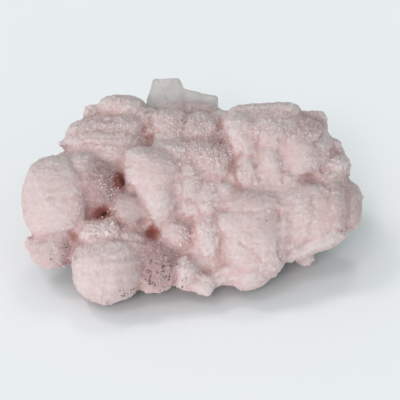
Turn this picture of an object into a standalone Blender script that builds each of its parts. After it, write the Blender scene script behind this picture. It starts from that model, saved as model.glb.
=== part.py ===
"""Rhodochrosite specimen: one crust of rounded crystal lumps grown into each other, with a grey blade in a
slot at the back of its crest.

The crust is drawn on a display face that leans back from upright. Each lump is placed by how far it lies
across that face, how far up it, and how far it stands proud of it, all in millimetres. The lumps are joined
into one closed skin, thinned to plain facets, and cut off flat underneath, where the specimen rests.
"""

import math
from collections import namedtuple

import bmesh
import bpy
from mathutils import Matrix, Vector, noise

MM = 0.001

# Driving dimensions.
DISPLAY_TILT = math.radians(35)  # the display face's normal, above the horizon
FACE_HEIGHT = 25.5 * MM  # the middle of the display face, above the surface that it rests on
FIT_GAP = 0.3 * MM  # clearance all round the blade in its slot
BLADE_THICKNESS = 2.6 * MM
BLADE_DEPTH = -15.5 * MM  # the blade's mid plane, measured like proud
BLADE_LEAN = math.radians(8)  # the blade leans back from the display face
BLADE_BEVEL = 0.35 * MM
SKIN_VOXEL = 0.7 * MM  # grid that joins the lumps into one skin
SMOOTHING_PASSES = 3  # soften the creases between the lumps by about one voxel
FLOOR_BLOCK = 200 * MM  # the block that cuts the underside flat, larger than the specimen
FACETS_KEPT = 0.08  # share of the skin's facets that the solid keeps
LEDGE_PITCH = 3.4 * MM  # height of one growth layer
LEDGE_DEPTH = 0.45 * MM  # how far each layer oversails the one below it
LEDGE_SHIFT = 0.37  # of a pitch, from one lump's layers to the next lump's
SWELLS = ((7.0 * MM, 0.5 * MM), (3.0 * MM, 0.22 * MM))  # width and height of the swells on a lump

PINK = (0.78, 0.60, 0.59, 1.0)
GREY = (0.62, 0.61, 0.60, 1.0)

# across, up, proud: the lump's centre. wide, tall, deep: half its size on the same three axes.
# roll: turned clockwise on the display face, in degrees. square: 2 is an ellipsoid, 4 is a rounded block.
Lump = namedtuple("Lump", "name across up proud wide tall deep roll square")

DISPLAY_LUMPS = (
    # Left boulder, with the druzy flank beside it and the speckled foot under it.
    Lump("left_boulder", -40.5, -2.2, 3.0, 10.6, 13.2, 11.4, 0, 2.3),
    Lump("left_boulder_crown", -40.4, 5.6, 1.0, 8.6, 5.4, 9.5, -4, 2.3),
    Lump("left_flank", -28.8, 1.8, 3.0, 6.8, 7.8, 8.8, -26, 2.2),
    Lump("left_flank_crown", -34.2, 6.8, 1.2, 6.2, 4.6, 8.6, -26, 2.2),
    Lump("left_web", -33.4, 0.0, 0.4, 6.0, 8.0, 9.2, -14, 2.3),
    Lump("left_flank_hem", -29.6, -3.2, 0.8, 4.6, 4.0, 7.6, 12, 2.1),
    Lump("left_foot", -41.9, -16.4, 1.4, 7.4, 6.6, 7.6, -15, 2.1),
    Lump("foot_web", -36.6, -14.4, -0.4, 4.8, 5.6, 7.4, 10, 2.2),
    Lump("left_spur", -49.0, -15.2, 1.0, 1.8, 1.9, 2.4, 30, 2.1),
    # Upper left: a stack of shelves that narrows to a keel.
    Lump("shelf_crown", -21.4, 25.4, -11.0, 7.8, 4.4, 7.2, 2, 2.4),
    Lump("shelf_step", -30.2, 23.6, -11.5, 3.0, 3.0, 4.5, 0, 4.0),
    Lump("shelf_upper", -25.8, 17.6, -8.2, 12.4, 5.2, 9.9, -4, 3.6),
    Lump("shelf_middle", -26.4, 13.4, -6.4, 12.6, 7.0, 10.5, 2, 2.8),
    Lump("shelf_keel", -23.4, 10.6, -4.4, 8.0, 6.6, 9.6, 8, 2.2),
    Lump("keel_web", -13.6, 17.6, -7.6, 4.2, 8.4, 6.6, 0, 2.3),
    Lump("shelf_tip", -39.3, 14.4, -5.0, 1.5, 1.1, 2.2, 0, 2.0),
    # Crest in the middle.
    Lump("crest_dome", -7.4, 19.4, -4.0, 6.4, 5.8, 7.4, 0, 2.3),
    Lump("crest_dome_foot", -6.6, 15.4, -2.4, 6.6, 4.4, 7.8, 4, 2.2),
    Lump("crest_right", 2.6, 18.0, -5.8, 6.8, 5.8, 7.8, 10, 2.2),
    Lump("crest_back", -1.0, 23.2, -14.6, 11.5, 4.9, 7.4, 4, 2.2),
    Lump("crest_web", -1.6, 16.6, -4.4, 8.4, 6.4, 8.2, 0, 2.2),
    Lump("crest_right_web", 8.6, 18.6, -8.0, 4.0, 6.4, 7.6, 0, 2.3),
    # Middle of the display face.
    Lump("heart", -11.8, 5.4, 6.2, 8.8, 7.8, 10.4, 6, 2.3),
    Lump("heart_brow", -14.6, 9.0, 5.8, 5.4, 4.4, 9.8, 6, 2.5),
    Lump("heart_point", -10.8, -1.4, 6.2, 6.6, 9.4, 9.8, -12, 2.2),
    Lump("heart_web", -3.6, 2.6, 3.4, 7.6, 8.6, 10.0, 0, 2.4),
    Lump("middle_shelf", 3.9, 8.2, 1.6, 9.4, 6.8, 9.8, 12, 2.3),
    Lump("middle_bridge", -4.8, 10.8, 1.4, 7.8, 5.2, 9.4, 14, 2.2),
    Lump("middle_knob", 9.2, 0.4, 3.0, 5.2, 4.2, 7.2, 20, 2.1),
    Lump("small_knob", -2.2, -4.6, 5.4, 3.5, 3.0, 6.2, 0, 2.1),
    Lump("middle_web", 2.6, -2.6, 2.6, 8.6, 8.6, 9.2, 0, 2.3),
    # Small knobs under the middle.
    Lump("pebble", -18.9, -5.0, 5.2, 5.6, 5.8, 8.0, 0, 2.1),
    Lump("pebble_foot", -17.8, -10.4, 2.0, 5.4, 3.2, 7.8, 8, 2.1),
    Lump("knob_upper", 4.4, -4.4, 5.0, 4.6, 4.0, 7.2, 0, 2.1),
    Lump("knob_left", -5.4, -12.6, 6.4, 4.9, 5.2, 7.2, 0, 2.1),
    Lump("knob_long", 4.2, -13.0, 6.0, 4.6, 7.6, 8.0, -6, 2.2),
    Lump("knob_low", -2.4, -23.4, 6.2, 4.4, 5.8, 7.2, 0, 2.2),
    Lump("knob_web", 2.5, -16.0, 0.9, 11.0, 10.0, 9.2, 0, 2.3),
    # Blocky crystals at the foot of the middle.
    Lump("block_front", 3.4, -27.2, 7.0, 3.0, 3.4, 4.4, 14, 3.8),
    Lump("block_left", -0.4, -26.6, 5.0, 2.8, 3.0, 4.8, -8, 3.0),
    Lump("block_right", 7.6, -24.6, 4.6, 3.2, 3.2, 5.0, -20, 3.2),
    # Front left boulder, its cap, and the speckled lump beside it.
    Lump("front_boulder", -25.2, -22.6, 8.0, 10.8, 10.2, 11.4, -6, 2.4),
    Lump("front_cap", -27.2, -12.8, 6.8, 7.4, 5.0, 9.0, 6, 2.2),
    Lump("front_cap_right", -18.8, -15.4, 6.0, 6.4, 4.6, 8.6, 22, 2.2),
    Lump("front_tip", -26.2, -29.6, 7.0, 4.8, 4.3, 6.0, 0, 2.1),
    Lump("speckled", -11.2, -22.0, 5.6, 6.8, 8.3, 9.2, -6, 2.4),
    # Right of the middle: a large lump with a sloping brow, and the ribs beside it.
    Lump("right_front", 17.4, -13.8, 3.4, 10.4, 13.4, 11.6, -15, 2.4),
    Lump("right_front_brow", 17.2, -4.6, 1.8, 11.2, 7.0, 11.8, -6, 2.2),
    Lump("right_front_shoulder", 11.2, -9.8, 3.6, 5.8, 6.8, 10.0, -24, 2.3),
    Lump("right_front_point", 17.0, -24.2, 4.0, 6.4, 5.2, 8.4, -12, 2.1),
    Lump("right_front_toe", 11.6, -23.4, 3.4, 4.6, 4.8, 7.4, -20, 2.1),
    Lump("brow_web", 21.5, 2.0, 0.2, 12.0, 4.4, 10.0, -4, 2.2),
    Lump("rib_left", 25.6, -11.4, 1.8, 4.8, 9.6, 10.2, 8, 2.2),
    Lump("rib_right", 32.4, -6.6, 1.0, 5.6, 9.4, 10.2, -8, 2.2),
    Lump("rib_hem", 29.2, -15.8, 2.4, 2.6, 3.0, 7.2, -10, 3.2),
    Lump("rib_mass", 31.4, -7.4, -0.6, 15.4, 11.2, 11.2, 0, 2.6),
    # Far right.
    Lump("far_right", 41.2, -5.6, -0.4, 5.6, 9.2, 10.6, 8, 2.2),
    Lump("far_right_lobe", 46.6, -4.4, -4.2, 4.4, 7.6, 9.0, 6, 2.2),
    Lump("far_right_brow", 38.0, 0.6, -5.0, 10.8, 4.4, 10.0, -4, 2.4),
    Lump("far_right_flake", 49.2, -8.2, -6.0, 1.9, 3.4, 4.0, 6, 3.2),
    Lump("right_rim", 36.6, -16.4, 2.0, 10.6, 1.8, 6.4, -23, 2.6),
    Lump("under_right", 33.8, -19.6, -6.6, 3.1, 3.0, 5.0, 0, 2.3),
    # Upper right.
    Lump("upper_right", 32.0, 12.4, -1.4, 8.4, 9.2, 11.4, 0, 2.3),
    Lump("upper_right_ridge", 15.2, 15.2, -0.8, 6.2, 9.2, 10.2, -14, 2.3),
    Lump("upper_right_nub", 16.4, 5.8, 1.8, 3.2, 4.7, 7.2, -4, 2.1),
    Lump("nub_web", 12.8, 4.4, 0.4, 4.4, 5.0, 8.4, 0, 2.2),
    Lump("upper_right_lobe", 22.6, 7.8, 0.8, 4.8, 7.6, 9.6, 2, 2.2),
    Lump("upper_right_face", 22.8, 16.6, -0.8, 8.4, 6.2, 10.4, 8, 2.4),
    Lump("upper_right_mass", 25.6, 12.6, -2.8, 15.4, 10.6, 11.4, -4, 2.7),
    Lump("upper_right_ledge", 21.8, 21.9, -8.4, 11.0, 5.0, 10.6, -3, 5.0),
    Lump("upper_right_step", 20.8, 19.8, -4.6, 10.2, 4.8, 9.8, -5, 3.2),
    Lump("upper_right_block", 35.4, 20.8, -9.8, 5.2, 3.5, 7.5, -4, 5.0),
    Lump("upper_right_chip", 43.2, 13.2, -9.0, 2.2, 3.4, 5.0, -24, 3.4),
    Lump("upper_right_cheek", 37.2, 14.0, -7.0, 5.0, 5.8, 8.8, 0, 2.3),
    Lump("right_cheek", 42.2, 7.2, -5.6, 5.6, 4.4, 8.2, -10, 2.3),
    Lump("cheek_web", 39.4, 4.0, -4.2, 7.2, 3.6, 8.6, 0, 2.3),
)

BACK_LUMPS = (
    Lump("back_left", -36.0, 4.0, -13.0, 9.5, 9.0, 9.0, 0, 2.2),
    Lump("back_left_low", -32.0, -6.0, -14.0, 9.5, 10.0, 10.0, 0, 2.2),
    Lump("back_shelf", -23.0, 14.0, -20.0, 10.0, 9.0, 9.0, 0, 2.3),
    Lump("back_shelf_low", -21.0, 2.0, -24.0, 8.5, 10.0, 9.0, 12, 2.2),
    Lump("back_middle", -7.0, 10.0, -25.0, 9.0, 9.0, 9.0, 0, 2.2),
    Lump("back_middle_low", -5.0, -2.0, -27.0, 9.5, 9.0, 8.5, -8, 2.2),
    Lump("back_crest", 7.0, 15.0, -21.0, 8.5, 7.0, 9.0, 0, 2.2),
    Lump("back_right", 22.0, 14.0, -20.0, 10.5, 8.0, 9.0, 0, 2.3),
    Lump("back_right_low", 11.0, 4.0, -26.0, 8.5, 9.0, 9.0, 10, 2.2),
    Lump("back_far_right", 26.0, 3.0, -21.0, 9.5, 9.0, 9.5, -10, 2.2),
    Lump("back_corner", 37.0, 8.0, -16.0, 6.5, 7.5, 8.5, 0, 2.3),
    Lump("back_corner_low", 37.0, -3.0, -14.0, 6.5, 7.5, 8.5, 0, 2.2),
    Lump("back_knob", -13.0, 21.0, -19.0, 6.0, 5.0, 7.0, 0, 2.1),
)

HEART_LUMPS = (
    Lump("core", -3.0, -1.0, -8.0, 38.0, 16.0, 9.5, -3, 2.6),
    Lump("core_low", -3.0, -16.0, -4.0, 27.0, 11.0, 9.0, 0, 2.4),
    Lump("core_back", -2.0, -4.0, -17.0, 32.0, 16.0, 11.0, 0, 2.6),
    Lump("core_top", 0.0, 13.0, -13.0, 36.0, 8.0, 9.0, -2, 2.4),
)

# The underside, placed on the floor's axes: across, then back from the middle, then up from the floor.
FOOT_LUMPS = (
    Lump("foot_left", -24.0, 2.5, 5.6, 9.4, 9.8, 8.0, 10, 2.3),
    Lump("foot_front_left", -15.0, -4.0, 4.8, 9.6, 7.4, 7.4, -20, 2.4),
    Lump("foot_front", 1.0, -7.4, 4.6, 8.5, 5.6, 6.6, 8, 2.3),
    Lump("foot_front_right", 13.5, -2.0, 4.8, 8.4, 8.0, 7.2, 15, 2.4),
    Lump("foot_right", 24.0, 8.0, 6.0, 7.6, 9.0, 8.2, -10, 2.3),
    Lump("foot_back_left", -16.0, 15.0, 5.6, 9.6, 8.0, 8.2, 12, 2.4),
    Lump("foot_back", -1.0, 18.0, 5.0, 9.0, 7.0, 7.4, 0, 2.3),
    Lump("foot_back_right", 12.0, 16.0, 5.2, 9.4, 7.6, 7.6, -14, 2.4),
    Lump("foot_middle", -3.0, 5.0, 5.0, 16.0, 12.0, 7.4, 0, 2.5),
)

# Corners of the blade on the display face, across and up: a tall tab on the left, a low ridge on the right.
BLADE_OUTLINE = (
    (-15.6, 20.0),
    (-14.4, 27.6),
    (-12.4, 34.9),
    (-4.3, 35.2),
    (-3.2, 33.4),
    (-2.8, 31.9),
    (2.0, 30.7),
    (7.6, 29.5),
    (7.6, 27.0),
    (8.6, 20.0),
)


def clear_scene():
    for obj in list(bpy.data.objects):
        bpy.data.objects.remove(obj, do_unlink=True)


def display_matrix():
    """From the display face's axes, across, up and proud, to the world's."""
    tilt_sin = math.sin(DISPLAY_TILT)
    tilt_cos = math.cos(DISPLAY_TILT)
    axes = Matrix(((1, 0, 0), (0, tilt_sin, -tilt_cos), (0, tilt_cos, tilt_sin)))
    return Matrix.Translation((0, 0, FACE_HEIGHT)) @ axes.to_4x4()


def material(name, colour, roughness):
    made = bpy.data.materials.new(name)
    made.use_nodes = True
    shader = made.node_tree.nodes["Principled BSDF"]
    shader.inputs["Base Color"].default_value = colour
    shader.inputs["Roughness"].default_value = roughness
    shader.inputs["Metallic"].default_value = 0.0
    made.diffuse_color = colour
    return made


def ledge_offset(height, order):
    """How far a growth layer stands out at this height in it: least under its brow, most at its top edge."""
    share = (height / LEDGE_PITCH + order * LEDGE_SHIFT) % 1.0
    return LEDGE_DEPTH * (share - 0.5)


def shape_lump(bm, lump, order, axes):
    """Adds one lump to bm, placed by axes: a rounded block with low swells, in stacked growth layers."""
    half = Vector((lump.wide, lump.tall, lump.deep)) * MM
    centre = Vector((lump.across, lump.up, lump.proud)) * MM
    turn = Matrix.Rotation(math.radians(-lump.roll), 4, "Z")
    ball = bmesh.ops.create_icosphere(bm, subdivisions=4, radius=1.0)["verts"]
    swell_seed = Vector((order * 3.7, order * 1.9, order * 5.3))
    for vert in ball:
        way = vert.co.normalized()
        block = sum(abs(part) ** lump.square for part in way) ** (-1.0 / lump.square)
        point = Vector(way[i] * block * half[i] for i in range(3))
        for size, height in SWELLS:
            point += way * height * noise.noise(point / size + swell_seed)
        side = Vector((way.x, 0, way.z))
        point += side * ledge_offset(point.y + centre.y, order)
        vert.co = axes @ (turn @ point + centre)


def crust_mesh():
    bm = bmesh.new()
    for order, lump in enumerate(DISPLAY_LUMPS + BACK_LUMPS + HEART_LUMPS):
        shape_lump(bm, lump, order, display_matrix())
    for order, lump in enumerate(FOOT_LUMPS):
        shape_lump(bm, lump, order, Matrix.Identity(4))
    mesh = bpy.data.meshes.new("rhodochrosite_crust")
    bm.to_mesh(mesh)
    bm.free()
    return mesh


def blade_mesh(name, grown):
    """The blade's plate, grown by that much on every side."""
    bm = bmesh.new()
    half = BLADE_THICKNESS / 2 + grown
    middle = Vector((sum(p[0] for p in BLADE_OUTLINE), sum(p[1] for p in BLADE_OUTLINE)))
    middle = middle / len(BLADE_OUTLINE) * MM
    corners = []
    for across, up in BLADE_OUTLINE:
        corner = Vector((across, up)) * MM
        corner += (corner - middle).normalized() * grown * math.sqrt(2)
        corners.append(bm.verts.new((corner.x, corner.y, -half)))
    plate = bm.faces.new(corners)
    lifted = bmesh.ops.extrude_face_region(bm, geom=[plate])["geom"]
    top = [item for item in lifted if isinstance(item, bmesh.types.BMVert)]
    bmesh.ops.translate(bm, verts=top, vec=(0, 0, 2 * half))
    if not grown:
        bmesh.ops.bevel(bm, geom=bm.edges[:], offset=BLADE_BEVEL, segments=1, affect="EDGES")
    bmesh.ops.recalc_face_normals(bm, faces=bm.faces)
    foot = Vector((middle.x, BLADE_OUTLINE[0][1] * MM, 0))
    lean = Matrix.Translation(foot) @ Matrix.Rotation(-BLADE_LEAN, 4, "X") @ Matrix.Translation(-foot)
    place = display_matrix() @ Matrix.Translation((0, 0, BLADE_DEPTH)) @ lean
    bmesh.ops.transform(bm, matrix=place, verts=bm.verts)
    mesh = bpy.data.meshes.new(name)
    bm.to_mesh(mesh)
    bm.free()
    return mesh


def floor_cutter_mesh():
    """A block under the surface that the specimen rests on."""
    bm = bmesh.new()
    place = Matrix.Translation((0, 0, -FLOOR_BLOCK / 2)) @ Matrix.Scale(FLOOR_BLOCK, 4)
    bmesh.ops.create_cube(bm, size=1.0, matrix=place)
    mesh = bpy.data.meshes.new("floor_cutter")
    bm.to_mesh(mesh)
    bm.free()
    return mesh


def add_object(name, mesh, parent):
    obj = bpy.data.objects.new(name, mesh)
    obj.parent = parent
    bpy.context.scene.collection.objects.link(obj)
    return obj


def add_cutter(name, mesh, parent):
    cutter = add_object(name, mesh, parent)
    cutter.hide_render = True
    cutter.display_type = "WIRE"
    return cutter


def cut(obj, cutter):
    boolean = obj.modifiers.new(cutter.name, "BOOLEAN")
    boolean.operation = "DIFFERENCE"
    boolean.solver = "EXACT"
    boolean.object = cutter


def centre_over_origin(stand, obj):
    """Moves stand so that obj's box is centred over the origin."""
    bpy.context.view_layer.update()
    evaluated = obj.evaluated_get(bpy.context.evaluated_depsgraph_get())
    corners = [evaluated.matrix_world @ Vector(corner) for corner in evaluated.bound_box]
    for axis in (0, 1):
        values = [corner[axis] for corner in corners]
        stand.location[axis] -= (min(values) + max(values)) / 2


def main():
    clear_scene()
    stand = bpy.data.objects.new("specimen", None)
    bpy.context.scene.collection.objects.link(stand)

    crust = add_object("rhodochrosite_crust", crust_mesh(), stand)
    crust.data.materials.append(material("rhodochrosite", PINK, 0.5))
    skin = crust.modifiers.new("one_skin", "REMESH")
    skin.mode = "VOXEL"
    skin.voxel_size = SKIN_VOXEL
    soft = crust.modifiers.new("soft_creases", "SMOOTH")
    soft.factor = 0.5
    soft.iterations = SMOOTHING_PASSES
    thin = crust.modifiers.new("facets", "DECIMATE")
    thin.ratio = FACETS_KEPT
    cut(crust, add_cutter("floor_cutter", floor_cutter_mesh(), stand))
    cut(crust, add_cutter("slot_cutter", blade_mesh("slot_cutter", FIT_GAP), stand))

    blade = add_object("grey_blade", blade_mesh("grey_blade", 0.0), stand)
    blade.data.materials.append(material("grey_crystal", GREY, 0.3))
    centre_over_origin(stand, crust)


main()
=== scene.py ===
# %% [markdown]
# # A rhodochrosite specimen, cell by cell
# Rhodochrosite is a pink manganese carbonate. Here it grew as a crust of boulders, shelves and knobs, each
# coated with a sugary druse of tiny rhombs, with a grey plate of another crystal standing in its crest.
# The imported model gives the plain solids. Every piece below is drawn over them, in metres, and none moves.

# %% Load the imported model
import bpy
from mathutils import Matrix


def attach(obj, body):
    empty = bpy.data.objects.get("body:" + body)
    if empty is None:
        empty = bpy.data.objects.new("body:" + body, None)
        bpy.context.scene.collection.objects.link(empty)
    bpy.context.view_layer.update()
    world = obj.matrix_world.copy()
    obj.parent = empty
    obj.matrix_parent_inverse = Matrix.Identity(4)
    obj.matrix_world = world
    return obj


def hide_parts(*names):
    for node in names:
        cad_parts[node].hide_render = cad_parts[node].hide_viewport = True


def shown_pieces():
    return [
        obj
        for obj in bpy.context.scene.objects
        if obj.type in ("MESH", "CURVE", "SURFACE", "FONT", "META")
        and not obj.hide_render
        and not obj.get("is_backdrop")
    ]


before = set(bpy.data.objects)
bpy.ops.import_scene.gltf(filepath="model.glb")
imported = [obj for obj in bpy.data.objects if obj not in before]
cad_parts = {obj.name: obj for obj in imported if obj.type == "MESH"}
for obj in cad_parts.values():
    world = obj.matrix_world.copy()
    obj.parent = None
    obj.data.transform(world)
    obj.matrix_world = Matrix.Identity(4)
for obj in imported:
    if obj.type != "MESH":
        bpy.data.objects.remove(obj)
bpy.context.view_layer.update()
print("packed nodes:", sorted(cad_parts))

# %% Modules and units
import math

import bmesh
import bpy
import numpy as np
from mathutils import Vector, noise
from mathutils.bvhtree import BVHTree

MM = 0.001
CHANCE = 11  # every random draw starts from this seed
scene = bpy.context.scene
print("lengths are in metres, so a millimetre is", MM)

# %% [markdown]
# ## The display face
# A specimen is described on the face it is shown by. That face leans back 35 degrees from upright, so three
# axes suit it better than the world's: across to the right, up the slope, and proud towards the viewer.
# These few lines turn one set into the other, for single points and for whole arrays.

# %% From the display face to the world and back
TILT = math.radians(35)
FACE_MIDDLE = Vector((0.06, -2.26, 25.5)) * MM
ACROSS = Vector((1, 0, 0))
UP = Vector((0, math.sin(TILT), math.cos(TILT)))
PROUD = Vector((0, -math.cos(TILT), math.sin(TILT)))


def on_face(across, up, proud=0.0):
    """The world point at this place on the display face, given in millimetres."""
    return FACE_MIDDLE + (ACROSS * across + UP * up + PROUD * proud) * MM


def face_places(points):
    """Across, up and proud of an array of world points, in millimetres."""
    return (points - np.array(FACE_MIDDLE)) @ np.array((ACROSS, UP, PROUD)).T / MM


print("display face middle:", [round(v / MM, 2) for v in FACE_MIDDLE], "mm")

# %% [markdown]
# ## Camera
# A long lens far off keeps a small object free of perspective. It looks straight at the display face, from
# 35 degrees above the horizon.

# %% Camera
CAMERA_DISTANCE = 660 * MM
FIELD_WIDTH = 120 * MM  # what the camera takes in at the display face
SENSOR_WIDTH = 36.0  # mm, as a camera's own sizes are in Blender
NEAREST_SEEN = 50 * MM
aim = on_face(2.1, -2.4)
camera_data = bpy.data.cameras.new("camera")
camera_data.sensor_width = SENSOR_WIDTH
camera_data.lens = SENSOR_WIDTH * CAMERA_DISTANCE / FIELD_WIDTH
camera_data.clip_start = NEAREST_SEEN
camera = bpy.data.objects.new("camera", camera_data)
camera.location = aim + PROUD * CAMERA_DISTANCE
camera.rotation_euler = (-PROUD).to_track_quat("-Z", "Y").to_euler()
scene.collection.objects.link(camera)
scene.camera = camera
print("lens", round(camera_data.lens), "mm, from", round(CAMERA_DISTANCE, 2), "m")

# %% [markdown]
# ## The crust's own shape
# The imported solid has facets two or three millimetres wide. A voxel remesh lays an even skin of small squares
# over it, and Taubin smoothing, one step in and one slightly larger step out, rounds the facets off without
# shrinking the lumps. The flat underside stays exactly where it is.

# %% Copies and skins of a mesh
MERGE_WITHIN = 0.002 * MM  # corners of loose triangles that are nearer than this are one corner


def evaluated_mesh(obj, name):
    """The object's mesh with its modifiers applied, as a plain mesh of its own."""
    graph = bpy.context.evaluated_depsgraph_get()
    made = bpy.data.meshes.new_from_object(obj.evaluated_get(graph))
    made.name = name
    return made


def merged_copy(node_name):
    """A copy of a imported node's mesh whose loose triangles share their corners."""
    bm = bmesh.new()
    bm.from_mesh(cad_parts[node_name].data)
    bmesh.ops.remove_doubles(bm, verts=bm.verts, dist=MERGE_WITHIN)
    mesh = bpy.data.meshes.new(node_name + "_copy")
    bm.to_mesh(mesh)
    bm.free()
    return mesh


def remeshed(mesh, voxel, name):
    """An even skin of squares, one voxel wide, over the mesh."""
    helper = bpy.data.objects.new("helper", mesh)
    scene.collection.objects.link(helper)
    skin = helper.modifiers.new("skin", "REMESH")
    skin.mode = "VOXEL"
    skin.voxel_size = voxel
    made = evaluated_mesh(helper, name)
    bpy.data.objects.remove(helper)
    return made


print("corners within", MERGE_WITHIN, "m of each other are merged")

# %% A mesh as arrays
def read_all(items, field, columns=1, kind=float):
    """One field of every item, such as each vertex's place, as an array with that many columns."""
    flat = np.empty(len(items) * columns, kind)
    items.foreach_get(field, flat)
    return flat.reshape(-1, columns) if columns > 1 else flat


def places_of(mesh):
    return read_all(mesh.vertices, "co", 3)


def normals_of(mesh):
    return read_all(mesh.vertices, "normal", 3)


def edges_of(mesh):
    return read_all(mesh.edges, "vertices", 2, np.int32)


def set_places(mesh, places):
    mesh.vertices.foreach_set("co", places.ravel())
    mesh.update()


def neighbour_mean(values, edges):
    """For each vertex, the mean of a value over the vertices it shares an edge with."""
    count = np.bincount(edges.ravel(), minlength=len(values))
    columns = values.reshape(len(values), -1)
    mean = np.empty_like(columns)
    for i, column in enumerate(columns.T):
        total = np.bincount(edges[:, 0], column[edges[:, 1]], len(values))
        total += np.bincount(edges[:, 1], column[edges[:, 0]], len(values))
        mean[:, i] = total / np.maximum(count, 1)
    return mean.reshape(values.shape)


print("places, normals and edges can be read as arrays")

# %% Remesh and smooth the crust
SKIN_VOXEL = 0.56 * MM
TAUBIN_PASSES = 5
TAUBIN_STEPS = (0.55, -0.57)  # in, then out
FLAT_UNDER = 0.6 * MM  # below this height the crust is its flat underside
FREE_WITHIN = 1.5 * MM  # over this much height above it, points grow free to move

crust_mesh = remeshed(merged_copy("rhodochrosite_crust"), SKIN_VOXEL, "rhodochrosite")
crust_edges = edges_of(crust_mesh)
places = places_of(crust_mesh)
free = np.clip((places[:, 2] - FLAT_UNDER) / FREE_WITHIN, 0, 1)[:, None]
for _ in range(TAUBIN_PASSES):
    for step in TAUBIN_STEPS:
        places += step * free * (neighbour_mean(places, crust_edges) - places)
set_places(crust_mesh, places)
print("crust skin:", len(crust_mesh.vertices), "points,", len(crust_mesh.polygons), "squares")

# %% [markdown]
# ## Chance over the crust
# Nothing on a grown crystal repeats, so most of what follows is bent or thinned by noise. It could be a
# texture, but the mesh itself is to move, so the noise is worked out in Python, once for every point. The
# druse grew in clusters, and the cells of a Voronoi pattern, wide ones and small ones, stand for those.

# %% Noise over the crust
NOISE_SHIFT = (17.3, 5.9, 11.1)  # one step of this, times a whole number, gives noise that looks unrelated


def noise_at(points, size, shift):
    """Smooth noise, -1 to 1, with features about this many metres wide."""
    offset = Vector([shift * step for step in NOISE_SHIFT])
    return np.array([noise.noise(Vector(p) / size + offset) for p in points])


def cells_at(points, size):
    """Rounded cells: 1 at the middle of each, 0 at the seams between them."""
    out = np.empty(len(points))
    for i, p in enumerate(points):
        near = noise.voronoi(Vector(p) / size)[0]
        out[i] = min(near[1] - near[0], 1.0)
    return out


CLUSTER_SIZE, BUD_SIZE = 3.6 * MM, 1.5 * MM
CLUSTER_JITTER = 0.5 * MM  # how far noise pulls the seams between clusters about

bend_wide = noise_at(places, 8 * MM, 1)
bend_fine = noise_at(places, 2.6 * MM, 2)
patches = noise_at(places, 11 * MM, 3)
ragged = noise_at(places, 1.4 * MM, 5)
clusters = cells_at(places + CLUSTER_JITTER * ragged[:, None], CLUSTER_SIZE)
buds = cells_at(places, BUD_SIZE)
print("noise laid over", len(places), "points")

# %% [markdown]
# ## Places that differ
# Much of this specimen is particular to its place: a hollow that crystals have closed part of the way, a lump
# that swells further than its neighbours, a lump with a smooth coat. Weights could be painted by hand, but a
# script reads better with places. So each is a soft ellipse on the display face, with its middle, its half
# sizes and a strength, and a point near an ellipse's edge belongs to it only in part.

# %% Soft ellipses on the display face
ZONE_FADE = (0.55, 1.15)  # a zone is whole up to the first share of its half sizes, and ends at the second


def smooth_step(value, low, high):
    """0 up to low, 1 from high on, and a smooth slope between."""
    share = np.clip((value - low) / (high - low), 0, 1)
    return share * share * (3 - 2 * share)


def zone_share(where, zones):
    """How much of a zone each place is in, for display-face places in mm: 1 well inside, 0 outside."""
    share = np.zeros(len(where))
    for across, up, wide, tall, strength in zones:
        reach = np.hypot((where[:, 0] - across) / wide, (where[:, 1] - up) / tall)
        share = np.maximum(share, strength * (1 - smooth_step(reach, *ZONE_FADE)))
    return share


print("a zone fades between", ZONE_FADE, "of its half sizes")

# %% [markdown]
# ## Hollows that crystals closed part of the way
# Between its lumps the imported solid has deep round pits. On the real thing crystals grew into them from all
# sides, so they are shallow and their brinks are broken. Averaging each point with its neighbours, many
# times, draws a pit's floor up towards its brinks, as growth does, and needs no new surface.

# %% Draw the hollows up
CLOSED_HOLLOWS = (
    # across, up, half wide, half tall, strength
    (-22.2, 3.2, 2.8, 4.4, 1.0),  # beside the heart-shaped lump
    (-26.4, -6.8, 4.4, 2.8, 1.0),  # under the flank
    (-12.0, -11.2, 3.0, 2.8, 1.0),  # over the speckled lump
    (-13.8, 15.6, 2.6, 3.2, 0.3),  # left of the crest's foot
    (5.6, 15.8, 3.6, 2.6, 0.5),  # right of the crest's foot
    (12.8, 11.6, 2.2, 4.0, 0.6),  # left of the upper right
    (17.6, 4.6, 5.6, 3.2, 0.5),  # small bumps under the upper right
    (22.0, 4.0, 6.0, 3.4, 0.5),  # the same, further right
)
CLOSING_PASSES = 80
FRONT_PART = (-9.0, -6.0)  # mm proud: what lies behind the first keeps its shape


def closed_hollows(points, edges):
    """The points with each hollow drawn up towards its brinks."""
    where = face_places(points)
    share = zone_share(where, CLOSED_HOLLOWS) * smooth_step(where[:, 2], *FRONT_PART)
    for _ in range(CLOSING_PASSES):
        points = points + share[:, None] * (neighbour_mean(points, edges) - points)
    return points


places = closed_hollows(places, crust_edges)
set_places(crust_mesh, places)
print(len(CLOSED_HOLLOWS), "hollows closed part of the way")
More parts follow.
